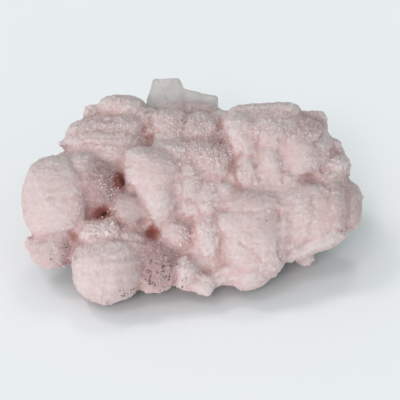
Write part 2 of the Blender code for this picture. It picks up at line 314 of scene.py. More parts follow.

# %% [markdown]
# ## Seams
# Where two lumps met they left a seam, and each seam has a place and a depth of its own. No rule would put
# them there, so they are listed one by one, as lines with a few corners on the display face. Noise makes each
# line wander and breaks it in places, and only the side that is turned to the viewer is cut.

# %% The seams that were left where lumps met
SEAMS = (
    # depth in mm, then the corners of a line: across and up on the display face, in mm
    (0.25, (-36.9, 9.0), (-33.3, 4.8), (-31.8, -0.3), (-31.5, -4.5), (-31.8, -7.8)),
    (0.3, (-33.0, 1.2), (-27.9, 0.0), (-24.0, -3.0)),
    (0.7, (-20.4, 1.2), (-23.4, -0.6), (-24.6, -3.6), (-24.0, -7.2), (-21.6, -10.2)),
    (0.3, (-47.4, 6.3), (-42.9, 6.3), (-40.8, 5.4)),
    (0.3, (-44.4, -1.8), (-36.9, -1.8), (-32.4, -0.3)),
    (0.4, (-49.8, -12.3), (-45.9, -14.4), (-40.8, -12.9), (-36.3, -12.3)),
    (0.5, (-33.3, -15.0), (-30.0, -13.2), (-26.4, -13.8), (-17.4, -14.4), (-14.7, -15.0)),
    (0.6, (-15.3, -15.0), (-14.4, -17.4), (-14.7, -21.9), (-14.1, -25.5), (-16.5, -29.4)),
    (0.25, (-27.3, -20.4), (-21.0, -20.4), (-16.8, -19.2)),
    (0.6, (-6.0, -19.8), (-5.1, -24.3), (-6.0, -28.2)),
    (0.3, (-9.9, 12.3), (-3.9, 8.4), (-2.7, 0.9), (-3.9, -4.5), (-9.3, -10.2)),
    (0.7, (-19.8, 2.1), (-16.2, -2.4), (-13.5, -7.2), (-12.0, -10.2)),
    (0.35, (-3.9, -3.6), (-0.9, -2.4), (1.8, -3.9), (1.5, -6.9), (-1.5, -8.1)),
    (0.3, (-0.3, -7.8), (0.3, -12.0), (-0.9, -16.5), (-3.9, -18.3)),
    (0.15, (6.3, -5.4), (8.1, -9.9), (10.2, -17.4), (11.4, -24.8)),
    (0.3, (-0.9, -18.9), (3.0, -22.8), (6.9, -23.4)),
    (0.4, (20.1, 19.5), (19.5, 14.7), (19.2, 11.1), (19.5, 5.7), (20.1, 3.0)),
    (0.35, (13.2, 10.2), (15.3, 11.4), (18.9, 10.5)),
    (0.35, (26.1, 15.6), (25.5, 8.7), (27.0, 3.0)),
    (0.5, (39.9, 19.2), (37.5, 14.7), (38.4, 10.5), (38.7, 6.0)),
    (0.15, (14.1, 1.8), (21.6, 2.4), (27.0, 1.5), (31.2, 3.6), (40.2, 4.5), (46.5, 3.3)),
    (0.25, (5.7, -4.5), (12.0, -5.7), (18.6, -6.3), (23.1, -5.1), (27.9, -6.3)),
    (0.5, (26.4, -6.9), (25.8, -12.0), (25.8, -17.4), (27.3, -21.0)),
    (0.4, (35.4, -0.9), (36.0, -6.9), (35.1, -12.9), (33.0, -16.8)),
    (0.5, (29.1, -18.3), (34.2, -15.3), (41.1, -12.3), (46.2, -10.8)),
    (0.35, (-31.5, 22.2), (-23.4, 21.0), (-15.3, 22.2)),
    (0.35, (-37.5, 17.7), (-27.9, 18.6), (-15.0, 17.1)),
    (0.3, (-38.7, 13.5), (-29.4, 14.7), (-17.4, 13.5)),
    (0.35, (-12.9, 15.6), (-7.4, 15.0), (-1.4, 14.6), (4.4, 15.6), (8.4, 13.0)),
    (0.35, (-2.4, 27.6), (-2.1, 22.2), (-3.3, 17.4)),
    (0.25, (-2.1, 4.2), (3.6, 6.0), (9.6, 3.6)),
    (0.3, (7.2, -9.6), (9.6, -13.2), (15.6, -16.2), (20.7, -21.0)),
    (0.3, (41.1, 1.2), (40.8, -3.9), (42.6, -9.0)),
    (0.9, (-13.5, 27.0), (-13.2, 20.4), (-12.9, 13.5)),
    (0.7, (8.4, 27.6), (8.1, 21.0), (9.6, 16.2), (12.0, 11.1), (13.2, 2.1)),
)
SEAM_EDGE = 0.9  # mm that a seam reaches to each side, beyond its own depth
SEAM_WANDER = 0.8  # mm that noise moves it
SEAM_PROFILE = 1.3  # 1 cuts a plain V, more cuts a sharper one
# A seam is gone at the first number of each pair and whole at the second.
SEAM_FACING = (-0.1, 0.3)  # how far its side is turned to the viewer
SEAM_BREAKS = (-0.9, 0.3)  # the noise where it runs
print("seams are up to", max(depth for depth, *_ in SEAMS), "mm deep")

# %% Where the camera sees a point, and how far a line is from it
def seen_places(points):
    """Across and up, in millimetres, where the line from the camera to each point meets the display face."""
    where = face_places(points)
    middle = face_places(np.array(aim)[None])[0, :2]
    nearer = CAMERA_DISTANCE / (CAMERA_DISTANCE - where[:, 2] * MM)
    return middle + (where[:, :2] - middle) * nearer[:, None]


def distance_to_line(points, corners):
    """How far each point is from a line through the corners."""
    nearest = np.full(len(points), np.inf)
    for start, end in zip(np.array(corners[:-1]), np.array(corners[1:])):
        along = end - start
        share = np.clip((points - start) @ along / (along @ along), 0, 1)
        nearest = np.minimum(nearest, np.linalg.norm(points - start - share[:, None] * along, axis=1))
    return nearest


print("the camera aims at", seen_places(np.array(aim)[None])[0].round(2), "on the display face, in mm")

# %% Cut the seams
outward = normals_of(crust_mesh)
seen = seen_places(places)
wander = seen + SEAM_WANDER * np.stack((bend_fine, ragged), axis=1)
seam_depth = np.zeros(len(places))
for depth, *corners in SEAMS:
    reach = distance_to_line(wander, corners) / (SEAM_EDGE + depth)
    seam_depth = np.maximum(seam_depth, depth * np.clip(1 - reach, 0, 1) ** SEAM_PROFILE)
whole = smooth_step(outward @ np.array(PROUD), *SEAM_FACING)
seam_depth *= whole * smooth_step(bend_fine + patches, *SEAM_BREAKS)
print(len(SEAMS), "seams, on", int((seam_depth > 0.1).sum()), "points")

# %% [markdown]
# ## Growth layers, clusters and bulges
# The crystal grew in thin layers, and where one stopped the next overhangs it a little, which leaves fine
# shelves that run almost level round each lump. A saw-tooth of height, bent by noise, gives those shelves.
# Clusters and buds swell between them like a cauliflower, less so where a lump has a smooth coat, and a few
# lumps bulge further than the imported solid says. All of it is one sum of heights, and each point then moves
# by its own height along its normal.

# %% Which lumps have a smooth coat, and which bulge
SMOOTH_COATS = (
    # across, up, half wide, half tall, strength
    (-42.0, -2.0, 12.0, 14.0, 1.0),  # left boulder
    (-12.5, 3.0, 9.0, 10.0, 0.8),  # heart-shaped lump
    (17.0, -13.0, 11.0, 14.0, 1.0),  # right front
    (-26.0, -24.0, 11.0, 9.0, 0.5),  # front boulder
    (27.0, 11.0, 12.0, 9.0, 0.8),  # upper right
    (34.0, -7.0, 13.0, 10.0, 0.5),  # far right
)
BULGES = (
    # across, up, half wide, half tall, strength
    (-18.7, -5.0, 4.6, 5.0, 1.0),  # pebble
    (-29.6, 3.4, 4.2, 5.0, 0.8),  # left flank
    (-26.6, -2.4, 2.8, 2.6, 0.7),  # hem of the flank
    (28.4, 10.4, 8.0, 8.0, 1.3),  # upper right, the large lobe
    (15.6, 6.6, 3.2, 4.2, 1.0),  # upper right, the nub
    (-11.0, 1.0, 5.6, 8.0, 0.5),  # heart-shaped lump
)
print(len(SMOOTH_COATS), "smooth coats and", len(BULGES), "bulges")

# %% Raise the layers, the clusters and the bulges, and sink the seams
BULGE_HEIGHT = 0.9  # mm
COAT_SMOOTHS = 0.55  # the share of clusters and buds that a smooth coat hides
LAYER_PITCH, FINE_PITCH = 3.1, 1.2  # mm between shelves: the plain ones and the fine ones
LAYER_DEPTH, FINE_DEPTH = 0.16, 0.06  # mm that each oversails
LAYER_PROFILE = 1.5  # 1 slopes a shelf evenly, more keeps it low until near its brink
CLUSTER_HEIGHT, BUD_HEIGHT, RAGGED_HEIGHT = 0.42, 0.30, 0.10  # mm
SKIN_INSET = 0.25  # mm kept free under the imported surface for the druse
FACES_DOWN = -0.8  # a point whose normal dips further than this is on the underside

level = seen[:, 1] + 1.7 * bend_wide + 0.6 * bend_fine
saw = (level / LAYER_PITCH + 0.35 * patches) % 1.0
fine_saw = (level / FINE_PITCH + 1.3 * patches) % 1.0
layered = smooth_step(patches + 0.6 * bend_wide, -0.35, 0.35)
coat = 1 - COAT_SMOOTHS * zone_share(seen, SMOOTH_COATS)
# what is taken off each term is about its mean, so that the skin as a whole keeps its size
rise = LAYER_DEPTH * (saw**LAYER_PROFILE - 0.4) * (0.2 + 0.8 * layered)
rise += FINE_DEPTH * (fine_saw**LAYER_PROFILE - 0.4) * layered
rise += CLUSTER_HEIGHT * (np.sqrt(clusters) - 0.55) * (1.1 - 0.6 * layered) * coat
rise += BUD_HEIGHT * (np.sqrt(buds) - 0.5) * coat
rise += BULGE_HEIGHT * zone_share(seen, BULGES)
rise += RAGGED_HEIGHT * ragged - SKIN_INSET - seam_depth
lifted = places + outward * rise[:, None] * free * MM
underside = (outward[:, 2] < FACES_DOWN) & (lifted[:, 2] < FLAT_UNDER)
lifted[:, 2] = np.where(underside, 0.0, np.maximum(lifted[:, 2], 0.0))
set_places(crust_mesh, lifted)
places = lifted
print("relief: from", round(rise.min(), 2), "to", round(rise.max(), 2), "mm")

# %% [markdown]
# ## How open each point is
# Pink rhodochrosite looks pale where light reaches it and dark brick red deep in a crevice, because there the
# light has passed through more crystal, and iron and manganese stains collect. So every point of the crust
# gets a number: the share of a fan of short rays that leave it without meeting the crust again. The materials
# read it as an attribute, and with it paint the stain and the shade alike into the colour.

# %% Cast the rays
RAYS, RAY_REACH = 18, 6 * MM
RAY_START = 0.25  # mm above the skin, so that a ray doesn't meet the square it leaves
RAY_LIFT = 1.02  # of the normal, added to a ray of length 1: a little over 1 keeps it off the surface
OPENNESS_BLURS = 2


def openness_of(mesh):
    """For each vertex, the share of rays, spread over the half space it faces, that stay free."""
    draw = np.random.default_rng(CHANCE)
    tree = BVHTree.FromPolygons([v.co for v in mesh.vertices], [p.vertices[:] for p in mesh.polygons])
    open_share = np.empty(len(mesh.vertices))
    fan = draw.normal(size=(RAYS, 3))
    fan /= np.linalg.norm(fan, axis=1)[:, None]
    for i, (point, normal) in enumerate(zip(places_of(mesh), normals_of(mesh))):
        ways = fan + normal * RAY_LIFT
        start = Vector(point + normal * RAY_START * MM)
        missed = sum(tree.ray_cast(start, Vector(way), RAY_REACH)[0] is None for way in ways)
        open_share[i] = missed / RAYS
    return open_share


openness = openness_of(crust_mesh)
for _ in range(OPENNESS_BLURS):
    openness = (openness + neighbour_mean(openness, crust_edges)) / 2
print("openness: 5%", np.percentile(openness, 5).round(2), "median", np.median(openness).round(2))

# %% [markdown]
# ## Valleys
# Openness knows the deep places, but not the fine lines between buds. Those show when the mesh is blurred: a
# point that then rises lies in a valley, and one that sinks is on a crest. A light blur finds the fine
# valleys and a heavy one the wide ones.

# %% Find the valleys
VALLEY_BLURS = (4, 24)  # passes: the first finds the seams between buds, the second those between lumps


def valleys_of(mesh, edges, passes):
    """For each vertex, how far in mm it lies below its surroundings, blurred by that many passes."""
    blurred = places_of(mesh)
    for _ in range(passes):
        blurred = (blurred + neighbour_mean(blurred, edges)) / 2
    return ((blurred - places_of(mesh)) * normals_of(mesh)).sum(axis=1) / MM


fine_valleys, wide_valleys = (valleys_of(crust_mesh, crust_edges, passes) for passes in VALLEY_BLURS)
for label, valleys in (("fine", fine_valleys), ("wide", wide_valleys)):
    print(label, "valleys, mm:", np.percentile(valleys, (2, 10, 50, 90, 98)).round(3))

# %% [markdown]
# ## Where the finish changes
# Glassy white tips crowd the brinks of shelves and hollows, dark grains of manganese oxide pepper a few low
# fronts, the druse is coarse in some places and fine in others, some lumps are greyed, partly by a dusting and
# partly as painted shade, the deepest crevices are darkened brick red, partly stain and partly painted shade,
# and a line low on the right is paler. Soft ellipses give the places again. The shares go on the crust as
# attributes, because a material can read those whatever the mesh is made of, and because they reach the grains
# that grow on it too.

# %% Where the tips and the oxide are
# Each row: across, up, half wide, half tall, all in mm, and strength.
TIP_ZONES = (
    (-25.2, 3.0, 4.2, 6.0, 0.9),  # left flank
    (-24.6, -3.9, 2.0, 3.2, 0.9),  # hem of the flank
    (-24.4, -9.8, 8.5, 2.4, 0.9),  # front cap
    (5.7, 12.3, 8.6, 4.2, 0.7),  # brink of the middle shelf
    (-18.6, 19.0, 5.5, 4.2, 0.5),  # upper left shelves
    (-0.6, 15.2, 6.5, 1.8, 0.6),  # foot of the crest
    (-13.8, 19.5, 2.2, 5.0, 0.8),  # left of the crest
)
OXIDE_ZONES = (
    (-38.8, -19.0, 4.2, 4.8, 1.0),  # left foot
    (-9.9, -24.6, 5.4, 5.8, 1.0),  # speckled lump
    (-20.4, -30.6, 3.8, 2.4, 0.9),  # front boulder, low on its right
    (-2.7, -25.5, 2.4, 4.0, 0.5),  # low knob
    (23.7, -7.5, 3.2, 2.4, 0.35),  # brow of the right front
    (45.6, -12.6, 2.0, 1.4, 0.5),  # far right
)
print(len(TIP_ZONES), "zones of tips and", len(OXIDE_ZONES), "of oxide")

# %% Where the druse is coarse, where it is greyed partly by a dusting and partly as painted shade, and where the crevices are deep
# Each row as before.
COARSE_ZONES = (
    (-27.0, 1.5, 6.6, 8.4, 0.7),  # left flank
    (-24.9, -10.8, 8.4, 3.6, 0.9),  # front cap
    (-10.2, -21.6, 6.6, 9.0, 1.0),  # speckled lump
    (3.9, 11.4, 11.0, 6.0, 0.9),  # middle shelf
    (0.0, 21.0, 11.0, 6.0, 0.6),  # crest
    (-26.0, 19.0, 15.0, 8.0, 0.5),  # upper left shelves
    (2.0, -14.0, 10.0, 9.0, 0.6),  # knobs
    (30.0, 20.0, 16.0, 5.0, 0.5),  # top of the upper right
    (40.0, 9.0, 7.0, 6.0, 0.5),  # right cheek
)
# Grey laid on these places is partly a dusting and partly painted shade, where a lump lies back or deep.
DUST_AND_SHADE_ZONES = (
    (-27.8, 1.2, 6.4, 8.8, 1.0),  # left flank
    (-41.0, -17.0, 9.0, 7.0, 0.3),  # left foot
    (-19.4, -25.6, 4.6, 7.6, 0.3),  # front boulder, right part
    (-10.2, -21.6, 6.4, 9.4, 1.0),  # speckled lump
    (-18.9, -5.1, 5.6, 6.0, 0.55),  # pebble
    (-3.0, 22.5, 12.0, 5.0, 0.25),  # crest
    (26.4, 12.0, 14.0, 9.0, 0.15),  # upper right
    (-24.0, 19.0, 17.0, 4.0, 0.2),  # upper left shelves
    (5.7, 10.5, 9.0, 6.0, 0.3),  # middle shelf
    (17.4, -1.5, 9.0, 4.0, 0.3),  # brow of the right front
    (35.0, 20.4, 6.0, 3.6, 0.5),  # upper right block
    (45.6, -3.0, 6.0, 8.0, 0.4),  # far right
)
# The deepest crevices, painted dark red: partly stain, partly painted shade.
DEEP_ZONES = (
    (-22.3, 3.4, 2.0, 3.4, 1.0),  # beside the heart-shaped lump
    (-27.6, -6.4, 4.2, 2.6, 1.0),  # under the flank
    (-11.8, -12.2, 2.8, 2.8, 1.0),  # over the speckled lump
    (-35.6, -12.9, 2.0, 1.8, 0.7),  # over the left foot
    (-13.5, 18.6, 1.8, 5.4, 0.9),  # left of the crest
    (7.5, 22.0, 1.4, 2.6, 0.5),  # right of the crest
    (12.6, 6.6, 2.0, 4.6, 0.6),  # left of the upper right
    (15.0, 1.8, 2.0, 1.4, 0.7),  # under the upper right, left
    (19.5, 3.0, 1.6, 1.4, 0.7),  # under the upper right, middle
    (33.5, 6.5, 3.6, 2.0, 0.4),  # under the upper right, right
)
PALE_EDGE = ((27.0, -21.9), (32.1, -18.0), (36.6, -15.6), (42.0, -13.2), (46.2, -13.5))  # the pale edge
print(len(COARSE_ZONES), "coarse zones,", len(DUST_AND_SHADE_ZONES), "dusty and", len(DEEP_ZONES), "deep ones")

# %% Lay the zones on the crust
PALE_REACH = (0.7, 1.9)  # mm from the pale edge: the first is still pale, the second no longer
SEAM_FULL = 0.6  # mm of seam that takes its whole stain
VALLEY_GAINS = (1.8, 0.7)  # what a millimetre of fine and of wide valley adds to the valley number
EVEN_VALLEY = 0.5  # the valley number of a flat place
BRINK_OPENS, BRINK_ENDS = (0.3, 0.6), (0.8, 0.97)  # a brink is neither closed in nor quite open
STRAY_TIPS = 0.03  # the share of tips on brinks outside their zones
CLEAR_OF_FLOOR = (0.6 * MM, 1.3 * MM)  # nothing grows below the first, and all of it above the second
BEHIND_COARSE = 0.5  # how coarse the druse is on the back, which the zones don't reach


def set_attribute(mesh, name, values):
    """One number for each point, which materials and node trees can read by this name."""
    layer = mesh.attributes.new(name, "FLOAT", "POINT")
    layer.data.foreach_set("value", np.asarray(values, np.float32))


seen = seen_places(places)
outward = normals_of(crust_mesh)
faces_viewer = smooth_step(outward @ np.array(PROUD), -0.1, 0.35)
brink = smooth_step(openness, *BRINK_OPENS) * (1 - smooth_step(openness, *BRINK_ENDS))
above_floor = smooth_step(places[:, 2], *CLEAR_OF_FLOOR)
tips = np.maximum(zone_share(seen, TIP_ZONES) * (0.25 + 0.75 * brink), STRAY_TIPS * brink)
oxide = zone_share(seen, OXIDE_ZONES) * faces_viewer * smooth_step(ragged + bend_fine, -0.3, 0.4)
dusty = zone_share(seen, DUST_AND_SHADE_ZONES) * faces_viewer
bent = seen + np.stack((bend_fine, ragged), axis=1)
deep = zone_share(bent, DEEP_ZONES) * faces_viewer
coarse = np.where(outward @ np.array(PROUD) > -0.2, zone_share(seen, COARSE_ZONES), BEHIND_COARSE)
rims = smooth_step(-wide_valleys, 0.15, 0.45)
coarse = np.clip(0.8 * coarse + 0.2 * patches + 0.35 * ragged + 0.35 * rims, 0, 1)
valley = np.clip(VALLEY_GAINS[0] * fine_valleys + VALLEY_GAINS[1] * wide_valleys + EVEN_VALLEY, 0, 1)
seamed = np.clip(seam_depth / SEAM_FULL, 0, 1)
pale_edge = (1 - smooth_step(distance_to_line(seen, PALE_EDGE), *PALE_REACH)) * faces_viewer
crust_numbers = {
    "openness": openness,
    "seam": seamed,
    "pale_edge": pale_edge,
    "druse": above_floor,
    "tips": tips * above_floor,
    "oxide": oxide,
    "skyward": outward[:, 2],
    "valley": valley,
    "dusty": dusty,
    "deep": deep,
    "coarse": coarse,
}
for name, values in crust_numbers.items():
    set_attribute(crust_mesh, name, values)
print("points in a zone of tips:", int((tips > 0.3).sum()), "and of oxide:", int((oxide > 0.3).sum()))

# %% [markdown]
# ## Node trees as Python
# A tree of nodes is easier to read as a sum. This class wraps one output socket, and an operator on it adds
# the node that works the sum out. Any other node comes from one method, which takes the node's type, then its
# settings, then the values or links of its sockets.

# %% One class for every tree
class Wire:
    """An output socket that Python's operators work on, in a material or in a geometry tree."""

    def __init__(self, socket):
        self.socket = socket
        self.tree = socket.id_data

    def node(self, kind, settings=None, inputs=None, output=0):
        return add_node(self.tree, kind, settings, inputs, output)

    def maths(self, operation, *values, clamp=False):
        settings = {"operation": operation, "use_clamp": clamp}
        return self.node("ShaderNodeMath", settings, dict(enumerate((self, *values))))

    def __add__(self, other):
        return self.maths("ADD", other)

    def __sub__(self, other):
        return self.maths("SUBTRACT", other)

    def __rsub__(self, other):
        return self.node("ShaderNodeMath", {"operation": "SUBTRACT"}, {0: other, 1: self})

    def __mul__(self, other):
        return self.maths("MULTIPLY", other)

    def __pow__(self, other):
        return self.maths("POWER", other)

    __radd__, __rmul__ = __add__, __mul__

    def step(self, low, high):
        """0 at low, 1 at high, and a smooth slope between."""
        settings = {"interpolation_type": "SMOOTHSTEP"}
        return self.node("ShaderNodeMapRange", settings, {"Value": self, "From Min": low, "From Max": high})

    def ramp(self, *stops):
        """A colour for each value: stops are (place, (red, green, blue)), in order."""
        return self.node("ShaderNodeValToRGB", {"stops": stops}, {0: self})

    def blend(self, first, second):
        """The first colour where this is 0, the second where it is 1."""
        settings = {"data_type": "RGBA"}
        return self.node("ShaderNodeMix", settings, {0: self, 6: first, 7: second}, output=2)


print("a wire can be added, subtracted, multiplied and raised to a power")

# %% One function for every node
def set_stops(ramp, stops):
    """Gives a colour ramp these stops in place of its own."""
    while len(ramp.elements) < len(stops):
        ramp.elements.new(1.0)
    for element, (place, colour) in zip(ramp.elements, stops):
        element.position = place
        element.color = (*colour, 1.0)


def add_node(tree, kind, settings=None, inputs=None, output=0):
    """A node of this kind: its settings first, then the values or links of its sockets."""
    made = tree.nodes.new(kind)
    for name, value in (settings or {}).items():
        if name == "stops":
            set_stops(made.color_ramp, value)
        else:
            setattr(made, name, value)
    for name, value in (inputs or {}).items():
        socket = made.inputs[name]
        if isinstance(value, Wire):
            tree.links.new(value.socket, socket)
        else:
            socket.default_value = (*value, 1.0) if socket.type == "RGBA" else value
    return Wire(made.outputs[output]) if len(made.outputs) else made


print("node trees are written as sums from here on")

# %% [markdown]
# ## Materials of the crust
# The pink is palest on crests and darker and rosier in valleys, partly its own colour and partly painted light
# and shade, and it drifts slowly through the crystal. Brick is laid on what is closed in and along the seams,
# partly stain and partly painted shade. What faces the sky is greyed as painted shade, and some places are
# greyed partly by a dusting and partly as painted shade. A line low on the right is paler, and the deepest
# crevices are dark red, partly stain and partly painted shade. Each of these is one blend over the last. The
# skin and the druse share the recipe, so the grains belong to the rock they stand on. Subsurface light gives
# the skin the waxy depth of a carbonate. On the druse it would only add noise, so that material is plain.

# %% The recipe for the pink
# The darker colours stand partly for painted shade: brick and deep red are partly stain, the grey partly a
# dusting, and the palest crest colour is partly painted light.
DEEP_RED, BRICK = (0.38, 0.135, 0.115), (0.48, 0.25, 0.24)
ROSE, PALE, CREST_PALE_AND_LIT = (0.66, 0.44, 0.435), (0.71, 0.52, 0.515), (0.735, 0.585, 0.583)
WHITER, PINKER = (0.73, 0.59, 0.588), (0.69, 0.465, 0.46)
GREY_DUST_AND_SHADE = (0.455, 0.295, 0.292)
# How much of each shows at most: the drifts, the stains and painted shade, the painted shade on what faces the
# sky and the placed grey, partly a dusting and partly painted shade, and the pale edge.
WHITER_MOST, PINKER_MOST = 0.35, 0.5
STAIN_AND_SHADE_MOST, SEAM_STAIN_AND_SHADE_MOST = 0.5, 0.45
SKYWARD_SHADE, PLACED_DUST_AND_SHADE = 0.14, 0.9
PALE_EDGE_MOST = 0.7


def grain_noise(tree, size, detail=3.0):
    """Noise, 0 to 1, with features about this many metres wide."""
    here = add_node(tree, "ShaderNodeTexCoord", output="Object")
    inputs = {"Vector": here, "Scale": 1 / size, "Detail": detail}
    return add_node(tree, "ShaderNodeTexNoise", {}, inputs)


def attribute(tree, name):
    """A number that the crust's points carry."""
    return add_node(tree, "ShaderNodeAttribute", {"attribute_name": name}, output="Fac")


def pink_of(tree):
    """The colour of the crust at each place, with painted light and shade laid in."""
    drift = grain_noise(tree, 9 * MM)
    speckle = grain_noise(tree, 0.9 * MM, 2.0)
    valley = attribute(tree, "valley") + (speckle - 0.5) * 0.3
    # Palest on crests and darker and rosier in valleys: partly the crystal's own colour, partly painted light
    # and shade.
    pink = valley.ramp((0.25, CREST_PALE_AND_LIT), (0.5, PALE), (0.85, ROSE))
    whiter = (drift.step(0.45, 0.7) * WHITER_MOST).blend(pink, WHITER)
    drifting = ((1 - drift).step(0.5, 0.72) * PINKER_MOST).blend(whiter, PINKER)
    closed = (1 - attribute(tree, "openness")) + (speckle - 0.5) * 0.15
    # Brick on what is closed in: partly stain, partly painted shade.
    stain_and_shade_laid = (closed.step(0.1, 0.8) * STAIN_AND_SHADE_MOST).blend(drifting, BRICK)
    # Brick along the seams: partly stain, partly painted shade in the creases.
    seams_darkened = (attribute(tree, "seam") * SEAM_STAIN_AND_SHADE_MOST).blend(stain_and_shade_laid, BRICK)
    # Painted shade: what faces the sky is greyed, as the tops of the lumps fall darker under a low front light.
    # The placed grey is partly a dusting and partly painted shade.
    skyward = attribute(tree, "skyward").step(0.4, 0.95)
    grey_share = skyward * SKYWARD_SHADE + attribute(tree, "dusty") * PLACED_DUST_AND_SHADE
    greyed = grey_share.blend(seams_darkened, GREY_DUST_AND_SHADE)
    edge_paled = (attribute(tree, "pale_edge") * PALE_EDGE_MOST).blend(greyed, WHITER)
    # Dark red in the deepest crevices: partly stain, partly painted shade.
    return (attribute(tree, "deep") * closed.step(0.06, 0.45)).blend(edge_paled, DEEP_RED)


print("the pink runs from", ROSE, "to", CREST_PALE_AND_LIT)

# %% One shader for every material
def new_material(name, settings, base, rough, bump=None):
    """A Principled material: settings are its even values, base and rough may vary over the surface."""
    made = bpy.data.materials.new(name)
    made.use_nodes = True
    tree = made.node_tree
    tree.nodes.clear()
    inputs = {**settings, "Base Color": base(tree) if callable(base) else base}
    inputs["Roughness"] = rough(tree) if callable(rough) else rough
    if bump:
        height, strength, distance = bump
        raised = {"Height": height(tree), "Strength": strength, "Distance": distance}
        inputs["Normal"] = add_node(tree, "ShaderNodeBump", {}, raised)
    shader = add_node(tree, "ShaderNodeBsdfPrincipled", {}, inputs)
    add_node(tree, "ShaderNodeOutputMaterial", {}, {"Surface": shader})
    return made


print("materials so far:", len(bpy.data.materials))

# %% Skin, druse, tips and oxide
DULL_GLOSS = {"IOR": 1.5, "Specular IOR Level": 0.25}
SOFT_LIGHT = {
    "Subsurface Weight": 1.0,
    "Subsurface Radius": (0.8, 0.62, 0.58),
    "Subsurface Scale": 1.3 * MM,
}
TIP_COLOURS = (0.3, (0.88, 0.80, 0.78)), (0.7, (0.96, 0.93, 0.92))
OXIDE_COLOURS = (0.3, (0.09, 0.065, 0.055)), (0.7, (0.24, 0.17, 0.14))
skin_material = new_material(
    "rhodochrosite_skin",
    {**SOFT_LIGHT, **DULL_GLOSS},
    pink_of,
    lambda tree: grain_noise(tree, 1.4 * MM) * 0.3 + 0.4,
    bump=(lambda tree: grain_noise(tree, 0.35 * MM, 2.0), 0.5, 0.12 * MM),
)
druse_material = new_material(
    "rhodochrosite_druse",
    DULL_GLOSS,
    pink_of,
    lambda tree: grain_noise(tree, 0.8 * MM) * 0.3 + 0.45,
)
tip_material = new_material(
    "glassy_tips",
    {"IOR": 1.55, "Specular IOR Level": 0.6},
    lambda tree: grain_noise(tree, 0.9 * MM).ramp(*TIP_COLOURS),
    lambda tree: grain_noise(tree, 1.1 * MM) * 0.2 + 0.08,
)
oxide_material = new_material(
    "manganese_oxide",
    {"IOR": 1.5},
    lambda tree: grain_noise(tree, 0.7 * MM).ramp(*OXIDE_COLOURS),
    lambda tree: grain_noise(tree, 0.5 * MM) * 0.3 + 0.5,
)
print("materials:", [m.name for m in bpy.data.materials])

# %% [markdown]
# ## Growing crystals on the crust
# A druse is one shape repeated tens of thousands of times, so Geometry Nodes grow it. Points are scattered on
# the crust no nearer to each other than a spacing, thinned by an attribute, and each gets a crystal that
# stands along the surface's normal, leans by chance and has a size by chance. Rhodochrosite's own shape is
# the rhombohedron: a cube stood on one corner and squashed or stretched along its body diagonal. The tips are
# six-sided and blunt, and the oxide grains are round.

# %% Shapes to grow
CORNER_UP = math.atan(math.sqrt(2))  # turns a cube, spun by 45 degrees, so that a body diagonal is upright


def rhomb(tree):
    """A cube stood on one corner; the scale that it is placed with makes it a rhombohedron."""
    cube = add_node(tree, "GeometryNodeMeshCube", {}, {"Size": (1, 1, 1)})
    spun = cube.node("GeometryNodeTransform", {}, {"Geometry": cube, "Rotation": (0, 0, math.radians(45))})
    return spun.node("GeometryNodeTransform", {}, {"Geometry": spun, "Rotation": (CORNER_UP, 0, 0)})


def pointed_tip(tree):
    """A blunt six-sided point, sunk by half its width."""
    cone = {"Vertices": 6, "Radius Top": 0.16, "Radius Bottom": 0.5, "Depth": 1.3}
    standing = add_node(tree, "GeometryNodeMeshCone", {}, cone)
    sunk = {"Geometry": standing, "Translation": (0, 0, -0.5)}
    return standing.node("GeometryNodeTransform", {}, sunk)


def dull_grain(tree):
    """A round grain of oxide."""
    return add_node(tree, "GeometryNodeMeshIcoSphere", {}, {"Radius": 0.5, "Subdivisions": 1})


print("shapes:", [shape.__name__ for shape in (rhomb, pointed_tip, dull_grain)])

# %% [markdown]
# ## The tree that grows them
# One function builds the tree, once for each kind of crystal, and everything that may differ is a named
# input of it. The druse is grown in stretches along the specimen, so that no mesh gets too heavy, and the
# tree keeps only the points between two values of X. It also notes the ground's normal at each point, which
# the next step needs.

# %% What the tree takes
SMALL_MANY = 2.5  # 1 makes every size as common, more makes small crystals the most common
COARSE_SIZES = (0.7, 0.6)  # the share of its size that a crystal has where it is fine, and what coarse adds
COAT_INPUTS = {
    "Spacing": "NodeSocketFloat",
    "Densest": "NodeSocketFloat",
    "Smallest": "NodeSocketFloat",
    "Largest": "NodeSocketFloat",
    "Flattest": "NodeSocketFloat",
    "Tallest": "NodeSocketFloat",
    "Lean": "NodeSocketFloat",
    "From X": "NodeSocketFloat",
    "To X": "NodeSocketFloat",
    "Seed": "NodeSocketInt",
    "Finish": "NodeSocketMaterial",
}


def random_value(tree, low, high, seed):
    """A number by chance for each point."""
    inputs = {2: low, 3: high, 8: seed}
    return add_node(tree, "FunctionNodeRandomValue", {"data_type": "FLOAT"}, inputs, 1)


def named_value(tree, name):
    """An attribute of the crust, read in a geometry tree."""
    return add_node(tree, "GeometryNodeInputNamedAttribute", {"data_type": "FLOAT"}, {"Name": name})


print("named inputs:", ", ".join(COAT_INPUTS))

